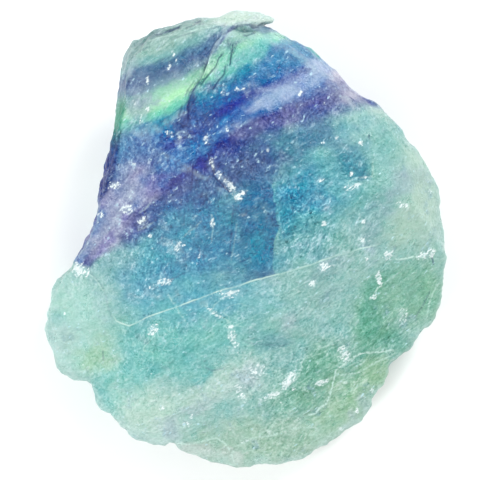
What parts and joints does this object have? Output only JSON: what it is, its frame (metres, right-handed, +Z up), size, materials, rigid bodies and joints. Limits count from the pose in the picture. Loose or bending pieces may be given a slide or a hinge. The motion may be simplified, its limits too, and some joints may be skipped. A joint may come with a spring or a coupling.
{
  "type": "rough banded fluorite chunk",
  "caption": "Rough, broken chunk of banded green, blue and purple fluorite, translucent, lying on its flat underside as a display or study specimen.",
  "frame": {"origin": "under the middle of the stone's box, on the flat broken face that it lies on", "axes": "+Y along the stone's length towards its steep banded end, +X across it, +Z up through its thickness"},
  "size_m": [0.0524, 0.0594, 0.0222],
  "materials": {
    "fluorite": "translucent banded crystal, broken and worn surface with a soft glassy lustre"
  },
  "bodies": {
    "root": {"fluorite": "fluorite"}
  },
  "joints": []
}
